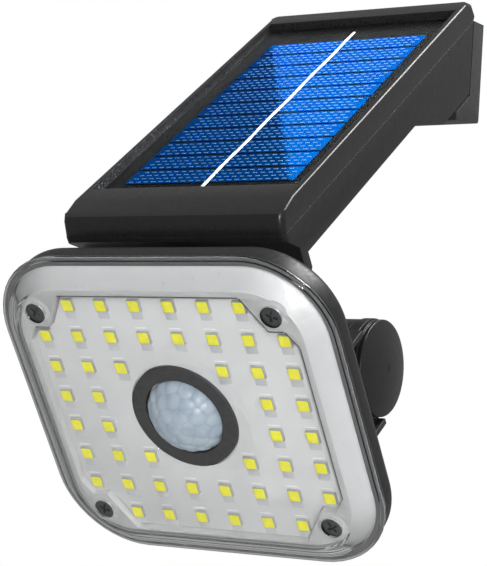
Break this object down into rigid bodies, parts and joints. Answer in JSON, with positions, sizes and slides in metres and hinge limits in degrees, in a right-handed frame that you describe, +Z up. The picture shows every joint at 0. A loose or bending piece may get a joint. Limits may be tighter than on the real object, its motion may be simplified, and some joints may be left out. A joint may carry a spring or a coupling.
{
  "type": "solar flood light",
  "caption": "Wall solar flood light: tilting square LED lamp head with motion sensor, hinged under a sloping solar panel and battery housing on a wall bracket.",
  "frame": {"origin": "middle of the bracket's wall face, midway between its two wall screw holes", "axes": "+Y into the wall, +Z up, +X to the right seen from the front"},
  "size_m": [0.0974, 0.1225, 0.1608],
  "materials": {
    "dark_housing": "fine moulded texture, satin",
    "clear_cover": "clear polished polycarbonate",
    "grey_silicone": "matt",
    "white_tray": "satin white",
    "white_board": "white solder mask",
    "led_body": "satin white",
    "phosphor": "fine grained yellow gel",
    "sensor_metal": "drawn can",
    "sensor_ring": "matt",
    "sensor_lens": "translucent, faceted",
    "dark_steel": "black zinc",
    "steel": "zinc plated",
    "washer_nylon": "natural nylon",
    "foam": "closed cell",
    "panel_backing": "black laminate",
    "silicon_cells": "blue polycrystalline",
    "silver_print": "printed silver",
    "clear_resin": "clear epoxy",
    "battery_sleeve": "shrink sleeve",
    "nickel": "nickel strip",
    "circuit_green": "solder mask",
    "chip_black": "moulded epoxy",
    "ferrite": "ferrite",
    "capacitor_can": "can",
    "button_rubber": "soft touch",
    "lead_jacket": "pvc jacket"
  },
  "bodies": {
    "housing": {"lower_shell": "dark_housing", "top_frame": "dark_housing", "panel_tape": "foam", "panel_backing": "panel_backing", "panel_resin": "clear_resin", "panel_busbar": "silver_print", "solar_cells": "silicon_cells", "housing_seal": "foam", "battery_cell": "battery_sleeve", "battery_terminal": "nickel", "battery_tabs": "nickel", "control_board": "circuit_green", "charge_chip": "chip_black", "charge_coil": "ferrite", "capacitors": "capacitor_can", "board_screws": "steel", "mode_switch": "chip_black", "housing_screws": "dark_steel", "wall_bracket": "dark_housing", "lock_screw": "steel", "battery_leads": "lead_jacket", "panel_leads": "lead_jacket"},
    "lamp_head": {"lamp_cover": "clear_cover", "lamp_back_housing": "dark_housing", "cover_gasket": "grey_silicone", "reflector_tray": "white_tray", "led_board": "white_board", "led_packages": "led_body", "led_phosphor": "phosphor", "motion_sensor": "sensor_metal", "sensor_ring": "sensor_ring", "sensor_lens": "sensor_lens", "cover_screws": "dark_steel", "hinge_bolt": "steel", "hinge_nut": "steel", "friction_washer_right": "washer_nylon", "friction_washer_left": "washer_nylon", "hinge_cap_right": "dark_housing", "hinge_cap_left": "dark_housing"},
    "button": {"mode_button": "button_rubber"}
  },
  "joints": [
    {"name": "lamp_tilt", "type": "hinge", "parent": "housing", "child": "lamp_head", "pos_m": [0, -0.04816, -0.09042], "axis": [1, 0, 0], "range_deg": [0, 90]},
    {"name": "button_press", "type": "slide", "parent": "housing", "child": "button", "axis": [0, -0.606, 0.7955], "range_m": [0, 0.0006], "stiffness_N_per_m": 2500, "springref_m": -0.0002}
  ]
}
